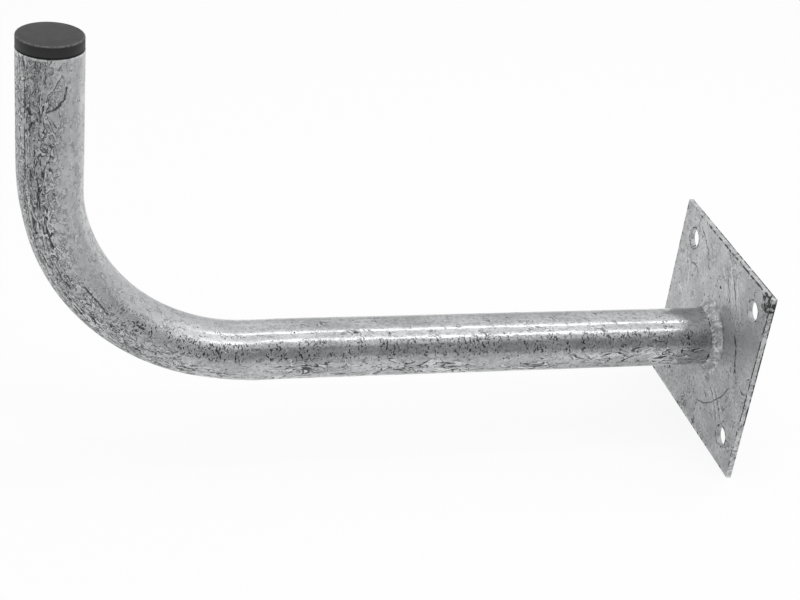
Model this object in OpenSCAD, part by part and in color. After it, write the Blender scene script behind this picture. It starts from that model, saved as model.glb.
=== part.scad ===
// A wall bracket for a mast: a round steel tube bent up through a right angle
// and welded square to a drilled wall plate, galvanised all over, with a
// moulded plastic cap pushed into its open end.
// The origin is the centre of the plate's wall face. +X points into the wall,
// the arm runs towards -X, and the upright points to +Z.

/* [Tube] */
// Outside diameter of the tube
tube_d = 42; // [32:0.5:60]
// Thickness of the tube's wall
tube_wall = 2; // [1.5:0.1:4]
// Radius of the bend at the tube's centreline
bend_r = 130; // [90:1:180]
// From the wall to the far side of the upright
reach = 500; // [360:5:900]
// From the underside of the arm to the upright's cut end
rise = 240; // [225:5:600]

/* [Wall plate] */
// Side of the square plate
plate_side = 150; // [125:1:250]
// Thickness of the plate
plate_thick = 4; // [3:0.5:10]
// Diameter of the four bolt holes
hole_d = 14; // [8:0.5:18]
// From the plate's edges to the centre of each bolt hole
hole_inset = 22; // [15:0.5:28]
// Diameter of the vent hole behind the tube, which lets the zinc bath drain
vent_d = 12; // [6:0.5:20]

/* [Weld] */
// Leg of the fillet weld, on the tube and on the plate
weld_leg = 6.5; // [3:0.5:8]
// How far the bead's face bulges out of a flat fillet
weld_crown = 0.8; // [0.3:0.1:1.2]

/* [Cap] */
// Height of the cap's head above the tube's end
cap_head = 7.5; // [4:0.5:15]
// Radius of the head's top edge
cap_edge = 1.2; // [0.4:0.1:2]
// How far the head's side stands in from the tube's, so that a sleeve slides over it
cap_inset = 0.3; // [0.1:0.1:1.5]
// Thickness of the cap's moulded walls
cap_wall = 2; // [1.2:0.1:2.5]
// Length of the plug inside the tube
plug_len = 20; // [12:1:40]
// Gap all round between the plug's barrel and the bore
plug_gap = 0.9; // [0.5:0.1:1.5]
// Number of barbs that grip the bore
barb_count = 3; // [1:1:3]
// Height of one barb
barb_h = 2; // [1:0.1:3]
// Gap all round between the barbs' tips and the bore
barb_gap = 0.1; // [0.05:0.01:0.3]

/* [Hidden] */
$fn = 96;
tube_r = tube_d / 2;
bore_r = tube_r - tube_wall;
upright_x = tube_r - reach;
arm_len = reach - tube_r - bend_r - plate_thick;
upright_top = rise - tube_r;
upright_len = upright_top - bend_r;
hole_pitch = plate_side - 2 * hole_inset;
head_r = tube_r - cap_inset;
plug_r = bore_r - plug_gap;
barb_r = bore_r - barb_gap;
barb_pitch = plug_len / (barb_count + 1);
arc_steps = 8;
cut = 1;
zinc = "#A8ABAD";
weld_zinc = "#B4B7B9";
cap_black = "#2B2B2C";

// A straight length of the tube, standing on the XY plane.
module straight_tube(length) {
    difference() {
        cylinder(r = tube_r, h = length);
        translate([0, 0, -cut])
            cylinder(r = bore_r, h = length + 2 * cut);
    }
}

// The quarter turn, from pointing down to pointing along -X round its centre.
module tube_bend() {
    rotate([90, 0, 0])
        rotate([0, 0, 180])
            rotate_extrude(angle = 90)
                translate([bend_r, 0])
                    difference() {
                        circle(r = tube_r);
                        circle(r = bore_r);
                    }
}

// One tube in one piece: the arm, the bend and the upright.
module bent_tube() {
    color(zinc)
        union() {
            translate([-plate_thick, 0, 0])
                rotate([0, -90, 0])
                    straight_tube(arm_len);
            translate([upright_x + bend_r, 0, bend_r])
                tube_bend();
            translate([upright_x, 0, bend_r])
                straight_tube(upright_len);
        }
}

// A hole along X through the plate.
module plate_hole(d) {
    translate([-plate_thick - cut, 0, 0])
        rotate([0, 90, 0])
            cylinder(d = d, h = plate_thick + 2 * cut);
}

// The sheared square plate, with its four bolt holes and the vent.
module wall_plate() {
    color(zinc)
        difference() {
            translate([-plate_thick, -plate_side / 2, -plate_side / 2])
                cube([plate_thick, plate_side, plate_side]);
            for (side = [-1, 1], level = [-1, 1])
                translate([0, side * hole_pitch / 2, level * hole_pitch / 2])
                    plate_hole(hole_d);
            plate_hole(vent_d);
        }
}

// Half section of the fillet: an arc from toe to toe, bulging by the crown.
module bead_section() {
    chord = weld_leg * sqrt(2);
    arc_r = (chord * chord / 4 + weld_crown * weld_crown) / (2 * weld_crown);
    setback = (arc_r - weld_crown) / sqrt(2);
    translate([tube_r, 0])
        intersection() {
            square(weld_leg + weld_crown);
            translate([weld_leg / 2 - setback, weld_leg / 2 - setback])
                circle(r = arc_r);
        }
}

// The weld, run all round where the tube's end meets the plate.
module weld_bead() {
    color(weld_zinc)
        translate([-plate_thick, 0, 0])
            rotate([0, -90, 0])
                rotate_extrude()
                    bead_section();
}

// One barb: flat towards the head, sloping back to the barrel below.
function barb(n) = [
    [plug_r, -n * barb_pitch],
    [barb_r, -n * barb_pitch],
    [plug_r, -n * barb_pitch - barb_h]
];

// The rounded top edge of the head, from the top face out to the side.
function head_edge() = [
    for (i = [0 : arc_steps])
        let (a = 90 - 90 * i / arc_steps)
            [head_r - cap_edge + cap_edge * cos(a), cap_head - cap_edge + cap_edge * sin(a)]
];

// The cap: a cup moulded in one piece, its head seated on the tube's end.
module end_cap() {
    hollow_r = plug_r - cap_wall;
    hollow_top = cap_head - cap_wall;
    color(cap_black)
        translate([upright_x, 0, upright_top])
            rotate_extrude()
                polygon(concat(
                    [[0, cap_head]],
                    head_edge(),
                    [[head_r, 0], [plug_r, 0]],
                    [for (n = [1 : barb_count]) each barb(n)],
                    [[plug_r, -plug_len], [hollow_r, -plug_len]],
                    [[hollow_r, hollow_top], [0, hollow_top]]
                ));
}

wall_plate();
bent_tube();
weld_bead();
end_cap();
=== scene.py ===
# %% [markdown]
# # A galvanised mast bracket
# The bracket holds a mast or an aerial off a wall: one round steel tube, bent up through a right angle,
# welded square to a drilled plate, dipped in molten zinc, and closed with a black plastic cap. The packed
# CAD model is the frame. Every piece below sits where the frame's nodes are, in metres, with +X into the
# wall, the arm towards -X and the upright towards +Z.

# %% Load the frame
import math

import bmesh
import bpy
from mathutils import Matrix, Vector, noise


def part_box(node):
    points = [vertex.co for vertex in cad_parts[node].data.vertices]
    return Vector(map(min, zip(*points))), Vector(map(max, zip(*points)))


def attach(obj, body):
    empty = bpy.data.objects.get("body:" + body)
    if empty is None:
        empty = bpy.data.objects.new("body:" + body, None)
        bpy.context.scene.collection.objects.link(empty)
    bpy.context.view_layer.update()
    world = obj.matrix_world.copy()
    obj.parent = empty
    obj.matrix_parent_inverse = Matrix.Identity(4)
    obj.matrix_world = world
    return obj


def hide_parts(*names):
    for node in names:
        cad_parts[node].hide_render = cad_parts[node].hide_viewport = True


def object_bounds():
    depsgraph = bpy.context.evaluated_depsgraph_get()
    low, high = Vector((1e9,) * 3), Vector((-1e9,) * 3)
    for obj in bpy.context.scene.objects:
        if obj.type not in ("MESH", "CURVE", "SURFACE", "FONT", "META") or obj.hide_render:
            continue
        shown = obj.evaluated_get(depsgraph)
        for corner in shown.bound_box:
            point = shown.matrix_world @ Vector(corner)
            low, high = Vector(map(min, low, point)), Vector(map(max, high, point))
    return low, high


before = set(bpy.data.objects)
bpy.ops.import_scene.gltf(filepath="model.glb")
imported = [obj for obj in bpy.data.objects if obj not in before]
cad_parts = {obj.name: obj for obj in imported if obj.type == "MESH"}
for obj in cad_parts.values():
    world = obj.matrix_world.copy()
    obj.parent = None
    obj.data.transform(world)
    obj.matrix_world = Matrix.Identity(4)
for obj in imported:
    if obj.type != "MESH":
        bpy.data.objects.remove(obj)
cad_low, cad_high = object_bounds()
scene = bpy.context.scene
MM = 0.001
print("CAD box in mm:", [round(c / MM, 1) for c in (*cad_low, *cad_high)])

# %% [markdown]
# ## The camera
# The photograph looks down on the bracket by about 30 degrees and slightly from its left, so that the plate
# opens up at the right. It was retouched, so no single camera fits all of it. This one keeps the arm nearly
# level, the upright plumb and the plate's corners near to where the photograph has them.

# %% Camera
PHOTO_WIDTH = 800
FOCAL_PIXELS = 1600.0
SENSOR_WIDTH = 36.0
CAMERA_PLACE = Vector((-0.5223, -0.9143, 0.5870))
CAMERA_AZIMUTH, CAMERA_ELEVATION, CAMERA_ROLL = (math.radians(a) for a in (-17.0, 29.92, 7.34))
QUARTER_TURN = math.pi / 2
FULL_TURN = 2 * math.pi

camera = bpy.data.objects.new("photo_camera", bpy.data.cameras.new("photo_camera"))
camera.data.sensor_width = SENSOR_WIDTH
camera.data.lens = FOCAL_PIXELS / PHOTO_WIDTH * SENSOR_WIDTH
camera.matrix_world = (
    Matrix.Translation(CAMERA_PLACE)
    @ Matrix.Rotation(CAMERA_AZIMUTH, 4, "Z")
    @ Matrix.Rotation(QUARTER_TURN - CAMERA_ELEVATION, 4, "X")
    @ Matrix.Rotation(CAMERA_ROLL, 4, "Z")
)
scene.collection.objects.link(camera)
scene.camera = camera
scene.view_settings.view_transform = "Standard"
print("lens:", round(camera.data.lens, 1), "mm")

# %% [markdown]
# ## Helpers for node trees and meshes
# Colours are written as sRGB hex values and turned linear by one function. One function adds a shader node
# with its settings and links, and the settings that come up most have names. One more turns a finished
# bmesh into an object.

# %% Helpers
SMOOTH = {"interpolation_type": "SMOOTHSTEP"}
COLOURS = {"data_type": "RGBA"}
TIMES = {"operation": "MULTIPLY"}
LARGER = {"operation": "MAXIMUM"}


def linear(hex_colour):
    """An sRGB hex colour as linear RGBA, by the sRGB standard's curve."""
    channels = [int(hex_colour[i:i + 2], 16) / 255 for i in (1, 3, 5)]
    return [c / 12.92 if c <= 0.04045 else ((c + 0.055) / 1.055) ** 2.4 for c in channels] + [1.0]


def add(tree, kind, *values, named=None, **settings):
    """Adds a shader node with settings, and fills its inputs in order, or by name, with values or links."""
    node = tree.nodes.new("ShaderNode" + kind)
    for name, value in settings.items():
        setattr(node, name, value)
    in_order = zip([s for s in node.inputs if s.enabled], values)
    by_name = [(node.inputs[name], value) for name, value in (named or {}).items()]
    for socket, value in [*in_order, *by_name]:
        if isinstance(value, bpy.types.Node):
            value = next(s for s in value.outputs if s.enabled)
        if isinstance(value, bpy.types.NodeSocket):
            tree.links.new(value, socket)
        else:
            socket.default_value = value
    return node


def new_material(name):
    """An empty material and its node tree."""
    material = bpy.data.materials.new(name)
    material.use_nodes = True
    material.node_tree.nodes.clear()
    return material, material.node_tree


def finish_piece(bm, name, material, smooth=True):
    """Turns a bmesh into an object at the origin, with one material."""
    mesh = bpy.data.meshes.new(name)
    for face in bm.faces:
        face.smooth = smooth
    bm.to_mesh(mesh)
    bm.free()
    mesh.materials.append(material)
    piece = bpy.data.objects.new(name, mesh)
    scene.collection.objects.link(piece)
    triangles = sum(len(polygon.vertices) - 2 for polygon in mesh.polygons)
    print(name, len(mesh.vertices), "vertices,", triangles, "triangles")
    return piece

# %% [markdown]
# ## The studio
# The photograph is a cut-out on pure white, so the floor and the room read as white to the camera. Part of
# the floor's colour stays a plain painted surface, which keeps the bracket's soft shadow. The reflected
# room is white overhead and a little darker towards the horizon, as a studio's walls are, which shades the
# metal.

# %% Floor
FLOOR_LEVEL = cad_low.z
FLOOR_RADIUS = 15.0
FLOOR_SIDES = 96
FLOOR_GLOW_SHARE, FLOOR_GLOW = 0.80, 1.07
FLOOR_PAINT = linear("#F4F4F4")
WHITE = linear("#FFFFFF")


def seen_straight(tree):
    """1 for the rays that look at a surface or reflect it, 0 for the rays that light it."""
    path = add(tree, "LightPath")
    seen = add(tree, "Math", path.outputs["Is Camera Ray"], path.outputs["Is Glossy Ray"], **LARGER)
    return add(tree, "Math", seen, path.outputs["Is Transmission Ray"], **LARGER)


floor_paint, tree = new_material("painted_studio_floor")
share = add(tree, "Math", seen_straight(tree), FLOOR_GLOW_SHARE, **TIMES)
paint = add(tree, "BsdfDiffuse", FLOOR_PAINT)
glow = add(tree, "Emission", WHITE, FLOOR_GLOW)
add(tree, "OutputMaterial", add(tree, "MixShader", share, paint, glow))

bm = bmesh.new()
bmesh.ops.create_circle(bm, cap_ends=True, segments=FLOOR_SIDES, radius=FLOOR_RADIUS)
bmesh.ops.translate(bm, verts=bm.verts, vec=(0, 0, FLOOR_LEVEL))
floor = finish_piece(bm, "studio_floor", floor_paint, smooth=False)

# %% Room
ROOM_LIGHT = 0.62
ROOM_SEEN = 1.0
# What the metal reflects: from the horizon to the ceiling, between two heights of a direction's Z.
HORIZON_TO_CEILING = 0.1, 0.65
ROOM_REFLECTED = 0.76, 1.0

world = bpy.data.worlds.new("white_room")
scene.world = world
world.use_nodes = True
tree = world.node_tree
tree.nodes.clear()
upward = add(tree, "SeparateXYZ", add(tree, "TexCoord")).outputs["Z"]
reflected = add(tree, "MapRange", upward, *HORIZON_TO_CEILING, *ROOM_REFLECTED, **SMOOTH)
brightness = add(tree, "Mix", add(tree, "LightPath").outputs["Is Glossy Ray"], ROOM_SEEN, reflected)
ambient = add(tree, "Background", WHITE, ROOM_LIGHT)
backdrop = add(tree, "Background", WHITE, brightness)
add(tree, "OutputWorld", add(tree, "MixShader", seen_straight(tree), ambient, backdrop))
print("the room lights with", ROOM_LIGHT, "and is seen as", ROOM_SEEN)

# %% [markdown]
# ## Lamps
# On metal the lamps show as what they reflect. The arm in the photograph has two thin bright lines along
# it, which are two strip lamps above, and a wider soft glow between them, which is a soft box.

# %% Lamps
ARM_MIDDLE = Vector((-0.17, 0.0, 0.0))
STRIPS = ("strip_front", 62), ("strip_top", 97)
STRIP_SIZE, STRIP_DISTANCE, STRIP_SHIFT, STRIP_RADIANCE = (1.0, 0.085), 1.2, 0.29, 3.4
SOFT_BOX_SIZE, SOFT_BOX_DISTANCE, SOFT_BOX_SHIFT, SOFT_BOX_RADIANCE = (1.4, 1.2), 1.6, 0.25, 0.31
SOFT_BOX_ELEVATION, SOFT_BOX_AIM_SHIFT = 86, 0.1


def area_lamp(name, place, aim, size, radiance):
    """A rectangular lamp of one even brightness, its long side along X."""
    lamp = bpy.data.lights.new(name, "AREA")
    lamp.shape = "RECTANGLE"
    lamp.size, lamp.size_y = size
    lamp.energy = radiance * math.pi * size[0] * size[1]
    holder = bpy.data.objects.new(name, lamp)
    back = (place - aim).normalized()
    side = (Vector((1, 0, 0)) - back * back.x).normalized()
    turned = Matrix((side, back.cross(side), back)).transposed().to_4x4()
    holder.matrix_world = Matrix.Translation(place) @ turned
    scene.collection.objects.link(holder)
    print(name, "at", [round(c, 2) for c in place])


def along_arm(shift):
    """A place in the arm's middle, shifted along X."""
    return ARM_MIDDLE + Vector((shift, 0, 0))


def above_arm(elevation, distance, shift):
    """A place over the arm, at an elevation counted from the camera's side over the top to the back."""
    angle = math.radians(elevation)
    return ARM_MIDDLE + Vector((shift, -distance * math.cos(angle), distance * math.sin(angle)))


for name, elevation in STRIPS:
    area_lamp(name, above_arm(elevation, STRIP_DISTANCE, STRIP_SHIFT), along_arm(STRIP_SHIFT), STRIP_SIZE,
              STRIP_RADIANCE)
area_lamp("soft_box", above_arm(SOFT_BOX_ELEVATION, SOFT_BOX_DISTANCE, SOFT_BOX_SHIFT),
          along_arm(SOFT_BOX_AIM_SHIFT), SOFT_BOX_SIZE, SOFT_BOX_RADIANCE)

# %% [markdown]
# ## Dark cards
# Below the arm's bright lines runs a dark band: the unlit side of the room, behind the photographer. A
# large standing card is it. Four more lie on the floor: below the arm, beside the bend, near the plate and
# at its foot. Reflections alone see the cards, and their edges fade out.

# %% Dark cards
# The standing card: width and height, middle, and how bright it is and over which share of it an edge fades.
FRONT_CARD_SIZE, FRONT_CARD_MIDDLE, FRONT_CARD_LOOKS = (6.6, 1.9), (0.9, -1.9, 0.55), (0.41, 0.22)
# The cards on the floor: width and depth, where they lie, how many mm up so that no two touch, and looks.
FLOOR_CARDS = (
    ("dark_card_below", 5.2, 1.6, 0.9, -1.20, 1, 0.34, 0.25),
    ("dark_card_left", 1.7, 1.7, -1.37, -0.70, 2, 0.29, 0.30),
    ("dark_card_near", 1.4, 0.67, 0.20, -0.415, 4, 0.75, 0.18),
    # The foot card is painted shade: it darkens what the plate reflects of the floor, where its shadow lies.
    ("dark_card_foot", 0.16, 0.28, -0.045, 0.03, 3, 0.72, 0.35),
)
# A card is modelled one metre wide and high, and then scaled.
HALF_CARD = 0.5


def dark_card(name, width, height, placement, brightness, edge):
    """A card that only reflections see, fading out over its edge."""
    cloth, tree = new_material(name + "_cloth")
    on_card = add(tree, "TexCoord").outputs["UV"]
    from_middle = add(tree, "VectorMath", on_card, (HALF_CARD, HALF_CARD, 0), operation="SUBTRACT")
    across = add(tree, "SeparateXYZ", from_middle)
    fades = []
    for axis in (0, 1):
        off = add(tree, "Math", across.outputs[axis], operation="ABSOLUTE")
        fades.append(add(tree, "MapRange", off, HALF_CARD - edge, HALF_CARD, 1.0, 0.0, **SMOOTH))
    solid = add(tree, "Math", *fades, **TIMES)
    lit = add(tree, "Emission", WHITE, brightness)
    add(tree, "OutputMaterial", add(tree, "MixShader", solid, add(tree, "BsdfTransparent"), lit))
    bm = bmesh.new()
    layer = bm.loops.layers.uv.new("flat")
    bmesh.ops.create_grid(bm, x_segments=1, y_segments=1, size=HALF_CARD)
    for loop in [loop for face in bm.faces for loop in face.loops]:
        loop[layer].uv = (loop.vert.co.x + HALF_CARD, loop.vert.co.y + HALF_CARD)
    bmesh.ops.scale(bm, vec=(width, height, 1), verts=bm.verts)
    bmesh.ops.transform(bm, matrix=placement, verts=bm.verts)
    card = finish_piece(bm, name, cloth, smooth=False)
    for ray in ("camera", "diffuse", "transmission", "volume_scatter", "shadow"):
        setattr(card, "visible_" + ray, False)


standing = Matrix.Translation(FRONT_CARD_MIDDLE) @ Matrix.Rotation(QUARTER_TURN, 4, "X")
dark_card("dark_card_front", *FRONT_CARD_SIZE, standing, *FRONT_CARD_LOOKS)
for name, width, depth, card_x, card_y, lift, brightness, edge in FLOOR_CARDS:
    lying = Matrix.Translation((card_x, card_y, FLOOR_LEVEL + lift * MM))
    dark_card(name, width, depth, lying, brightness, edge)

# %% [markdown]
# ## Hot-dip galvanised steel
# The steel is dipped in molten zinc, and the coat that stays on it freezes as it drains. It is a grey
# metal, brighter where it ran smooth and duller where it froze early, with a crackle of fine dark creases,
# longer crooked worms of dross, lengthwise runs, and pits. All of these start from noise, so the first
# helpers turn noise into ragged patches and crooked lines. Sizes are real ones, in metres, or else a
# comment says so.

# %% Zinc's colours, and masks made of noise
ZINC_RIM = linear("#DFE0E1")
ZINC_BRIGHT = linear("#C6C7C8")
ZINC_DULL = linear("#AEAFB0")
ZINC_GRAIN = linear("#858687")
ZINC_RUN = linear("#303233")
DROSS = linear("#1E1F20")
NOISE_MIDDLE = 0.5
# How far a full density raises the noise, and between which values raised noise turns into a patch.
TEAR_REACH, TEAR_EDGE = 0.34, (0.63, 0.72)
# In widths of a crease: its dark core, and the middle and the half width of the rim beside it.
CREASE_CORE, RIM_PLACE, RIM_REACH = 0.35, 1.9, 0.9


def cloud(tree, where, size, detail=3.0, rough=0.55, stretch=(1, 1, 1), shift=(0, 0, 0), twist=0.0):
    """Noise with features of a size in metres, drawn out along the axes that stretch names."""
    scale = tuple(1 / (size * s) for s in stretch)
    moved = add(tree, "Mapping", where, shift, (0, 0, 0), scale)
    noise_inputs = {"Scale": 1.0, "Detail": detail, "Roughness": rough, "Distortion": twist}
    return add(tree, "TexNoise", moved, named=noise_inputs)


def strongest(tree, masks):
    """The largest of a list of masks."""
    most = masks[0]
    for mask in masks[1:]:
        most = add(tree, "Math", most, mask, **LARGER)
    return most


def laid_over(tree, colour, mask, strength, shade):
    """A colour with a shade laid over it where a mask is, at a strength."""
    return add(tree, "Mix", add(tree, "Math", mask, strength, **TIMES), colour, shade, **COLOURS)


def shaken(tree, where, size, reach):
    """The place, moved about by noise of a size, so that nothing drawn at it runs straight."""
    noises = cloud(tree, where, size).outputs["Color"]
    shake = add(tree, "VectorMath", noises, (NOISE_MIDDLE, NOISE_MIDDLE, NOISE_MIDDLE), operation="SUBTRACT")
    return add(tree, "VectorMath", shake, (2 * reach, 2 * reach, 2 * reach), where, operation="MULTIPLY_ADD")


def torn(tree, where, size, density, along=1.0, shift=(0, 0, 0)):
    """A mask of ragged patches. density, a number or a mask, is how much of the surface they cover."""
    patches = cloud(tree, where, size, detail=3.0, rough=0.65, stretch=(along, 1, 1), shift=shift)
    raised = add(tree, "Math", density, TEAR_REACH, patches, operation="MULTIPLY_ADD")
    return add(tree, "MapRange", raised, *TEAR_EDGE, **SMOOTH)


def crease(tree, pattern, width):
    """Crooked lines where a noise passes its middle, and a rim beside each where the zinc piled up."""
    off_middle = add(tree, "Math", pattern, NOISE_MIDDLE, operation="SUBTRACT")
    away = add(tree, "Math", off_middle, operation="ABSOLUTE")
    line = add(tree, "MapRange", away, CREASE_CORE * width, width, 1.0, 0.0, **SMOOTH)
    rim = add(tree, "Math", off_middle, RIM_PLACE * width, RIM_REACH * width, operation="COMPARE")
    return line, rim


print("linear zinc, from bright to dull:", [round(c[0], 2) for c in (ZINC_RIM, ZINC_BRIGHT, ZINC_DULL)])

# %% [markdown]
# ## Grain and crackle
# Early freezing leaves dull patches and a fine orange peel. The grain of a real coat is finer than a pixel,
# so it is drawn at 1.1 mm. The crackle is a net of creases 2 to 3 mm apart, torn into short lengths,
# between islands of lighter and darker zinc. Each layer is laid over the colour of the ones before it.

# %% Grain and crackle
PATCH_SIZE, DULLED = 16 * MM, (0.36, 0.66)
PEEL_SIZE, PEEL_SHADE, PEEL_STRENGTH = 2.6 * MM, (0.44, 0.64), 0.40
GRAIN_SIZE, GRAIN_SHADE, GRAIN_STRENGTH = 1.1 * MM, (0.48, 0.70), 0.45
NET_SIZE, NET_WIDTH, CRACKLE_PATCH = 2.0 * MM, 0.060, 4.5 * MM
ISLAND_SHADE, ISLAND_STRENGTH = (0.36, 0.56), (0.32, 0.0)
NET_RIM_STRENGTH, CRACK_STRENGTH = 0.50, 0.68


def grain_layer(tree, where, along):
    """The coat's first colour, where it is dull, its peel and its grain. along draws its patches out."""
    patches = cloud(tree, where, PATCH_SIZE, detail=5.0, rough=0.6, stretch=(along, 1, 1))
    peel = cloud(tree, where, PEEL_SIZE, detail=2.0, rough=0.5, stretch=(1.4, 1, 1))
    grain = cloud(tree, where, GRAIN_SIZE, detail=2.0, rough=0.6)
    dulled = add(tree, "MapRange", patches, *DULLED, **SMOOTH)
    colour = add(tree, "Mix", dulled, ZINC_BRIGHT, ZINC_DULL, **COLOURS)
    peeled = add(tree, "MapRange", peel, *PEEL_SHADE, **SMOOTH)
    colour = laid_over(tree, colour, peeled, PEEL_STRENGTH, ZINC_GRAIN)
    grained = add(tree, "MapRange", grain, *GRAIN_SHADE, **SMOOTH)
    return laid_over(tree, colour, grained, GRAIN_STRENGTH, ZINC_GRAIN), dulled, peel, grain


def crackle_layer(tree, where, colour, cover):
    """The colour with the crackle laid over it, and the crackle's dark creases."""
    net = cloud(tree, where, NET_SIZE, detail=2.0, rough=0.55, stretch=(1.35, 1, 1), shift=(7, 3, 5),
                twist=0.4)
    line, rim = crease(tree, net, NET_WIDTH)
    there = torn(tree, where, CRACKLE_PATCH, cover, along=1.5, shift=(1, 6, 2))
    island = add(tree, "MapRange", net, *ISLAND_SHADE, *ISLAND_STRENGTH, **SMOOTH)
    colour = laid_over(tree, colour, island, there, ZINC_GRAIN)
    rim = add(tree, "Math", rim, there, **TIMES)
    colour = laid_over(tree, colour, rim, NET_RIM_STRENGTH, ZINC_RIM)
    crack = add(tree, "Math", line, there, **TIMES)
    return laid_over(tree, colour, crack, CRACK_STRENGTH, DROSS), crack


print("grain", GRAIN_SIZE / MM, "mm, crackle", NET_SIZE / MM, "mm")

# %% [markdown]
# ## Worms, pits and the whole coat
# Worms of dross are longer crooked lines in nests, and pits are small bare dots, in one cell of six. One
# function lays all layers down for the three coats, so that they match. It also adds up their heights, for
# the bump, and says where the coat is dull, because grown crystals and dross scatter more light than zinc
# that ran smooth.

# %% Worms, pits and the whole coat
WORM_SIZE, WORM_WIDTH, NEST_SIZE = 7 * MM, 0.026, 13 * MM
WORM_RIM_STRENGTH, WORM_STRENGTH = 0.65, 0.85
PIT_CELL, PIT_CHOSEN, PIT_EDGE, PIT_STRENGTH = 5.5 * MM, (0.82, 0.84), (0.07, 0.15), 0.85
PEEL_HEIGHT, GRAIN_HEIGHT, CRACK_DEPTH, WORM_DEPTH, PIT_DEPTH = 0.12, 0.07, 0.8, 0.9, 0.9
PATCH_DULLNESS = 0.4
# The coat's skin is partly oxide, which is no metal.
ZINC_METALLIC = 0.92


def worm_layer(tree, where, along, colour, cover):
    """The colour with worms of dross laid over it, and the worms."""
    folded = cloud(tree, where, WORM_SIZE, detail=2.0, rough=0.6, stretch=(1.3 * along, 1, 1),
                   shift=(11, 4, 9), twist=0.8)
    line, rim = crease(tree, folded, WORM_WIDTH)
    nest = torn(tree, where, NEST_SIZE, cover, along=along, shift=(2, 8, 3))
    rim = add(tree, "Math", rim, nest, **TIMES)
    colour = laid_over(tree, colour, rim, WORM_RIM_STRENGTH, ZINC_RIM)
    worm = add(tree, "Math", line, nest, **TIMES)
    return laid_over(tree, colour, worm, WORM_STRENGTH, DROSS), worm


def pit_layer(tree, where, colour):
    """The colour with small pits laid over it, and the pits."""
    cells = add(tree, "TexVoronoi", where, 1 / PIT_CELL)
    chosen = add(tree, "MapRange", add(tree, "SeparateColor", cells.outputs["Color"]), *PIT_CHOSEN, **SMOOTH)
    dot = add(tree, "MapRange", cells.outputs["Distance"], *PIT_EDGE, 1.0, 0.0, **SMOOTH)
    pit = add(tree, "Math", dot, chosen, **TIMES)
    return laid_over(tree, colour, pit, PIT_STRENGTH, DROSS), pit


def zinc_coat(tree, where, along, crackle, worms):
    """The coat's colour, its dullness and its height. along draws the patches out along X.
    crackle and worms, numbers or masks, are how much of the surface the creases and the worms cover."""
    colour, dulled, peel, grain = grain_layer(tree, where, along)
    colour, crack = crackle_layer(tree, where, colour, crackle)
    colour, worm = worm_layer(tree, where, along, colour, worms)
    colour, pit = pit_layer(tree, where, colour)
    height = add(tree, "Math", peel, PEEL_HEIGHT, **TIMES)
    weights = (grain, GRAIN_HEIGHT), (crack, -CRACK_DEPTH), (worm, -WORM_DEPTH), (pit, -PIT_DEPTH)
    for layer, weight in weights:
        height = add(tree, "Math", layer, weight, height, operation="MULTIPLY_ADD")
    dull = strongest(tree, [add(tree, "Math", dulled, PATCH_DULLNESS, **TIMES), worm, crack, pit])
    return colour, dull, height


def zinc_surface(tree, colour, roughness, height, relief):
    """The metal's shader, with the coat's height as a bump of that relief in metres."""
    bump = add(tree, "Bump", named={"Height": height, "Strength": 1.0, "Distance": relief})
    inputs = {"Base Color": colour, "Roughness": roughness, "Metallic": ZINC_METALLIC, "Normal": bump}
    add(tree, "OutputMaterial", add(tree, "BsdfPrincipled", named=inputs))
    print("nodes in the zinc:", len(tree.nodes))

# %% [markdown]
# ## Lines at a place
# The larger scratches and worms are placed one by one. Each runs along the arc through three points of the
# surface, because a real scratch has a slight, even curve. The place it is drawn at is shaken, so it never
# looks drawn with a compass.

# %% Lines at a place
# The shares of a line's half width and half length that are fully dark.
LINE_CORE, LINE_END = 0.4, 0.9


def on_face(y, z):
    """A place on a flat or unrolled surface, given in millimetres."""
    return Vector((0, y * MM, z * MM))


def arc_line(tree, where, first, middle, last, width):
    """A thin line along the arc through three points of a surface, in millimetres."""
    (y1, z1), (y2, z2), (y3, z3) = first, middle, last
    cross = 2 * (y1 * (z2 - z3) + y2 * (z3 - z1) + y3 * (z1 - z2))
    s1, s2, s3 = y1 ** 2 + z1 ** 2, y2 ** 2 + z2 ** 2, y3 ** 2 + z3 ** 2
    centre = on_face((s1 * (z2 - z3) + s2 * (z3 - z1) + s3 * (z1 - z2)) / cross,
                     (s1 * (y3 - y2) + s2 * (y1 - y3) + s3 * (y2 - y1)) / cross)
    radius = (on_face(*middle) - centre).length
    from_centre = add(tree, "VectorMath", where, centre, operation="DISTANCE")
    beside = add(tree, "Math", from_centre, radius, operation="SUBTRACT")
    off = add(tree, "Math", beside, operation="ABSOLUTE")
    line = add(tree, "MapRange", off, LINE_CORE * width * MM, width * MM, 1.0, 0.0, **SMOOTH)
    half_length = (on_face(*first) - on_face(*last)).length / 2
    from_middle = add(tree, "VectorMath", where, on_face(*middle), operation="DISTANCE")
    near = add(tree, "MapRange", from_middle, LINE_END * half_length, half_length, 1.0, 0.0, **SMOOTH)
    return add(tree, "Math", line, near, **TIMES)


print("one millimetre up the face:", on_face(0, 1)[:])

# %% [markdown]
# ## The tube's coat
# The tube is drawn, so its coat follows it lengthwise, also round the bend. It reads an attribute that the
# tube carries, the place that each point had while the tube was still straight: X along the tube, Y and Z
# round it. The outside of the bend and of the upright, where the zinc drained last, carries the most
# crackle and runs, and the inside of the bend is smooth and bright. Worms nest on the lower side of the
# arm.

# %% Tube sizes
PLATE_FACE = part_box("wall_plate")[0].x
TUBE_LOW, TUBE_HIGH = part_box("bent_tube")
SOLID_RADIUS = 21 * MM
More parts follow.
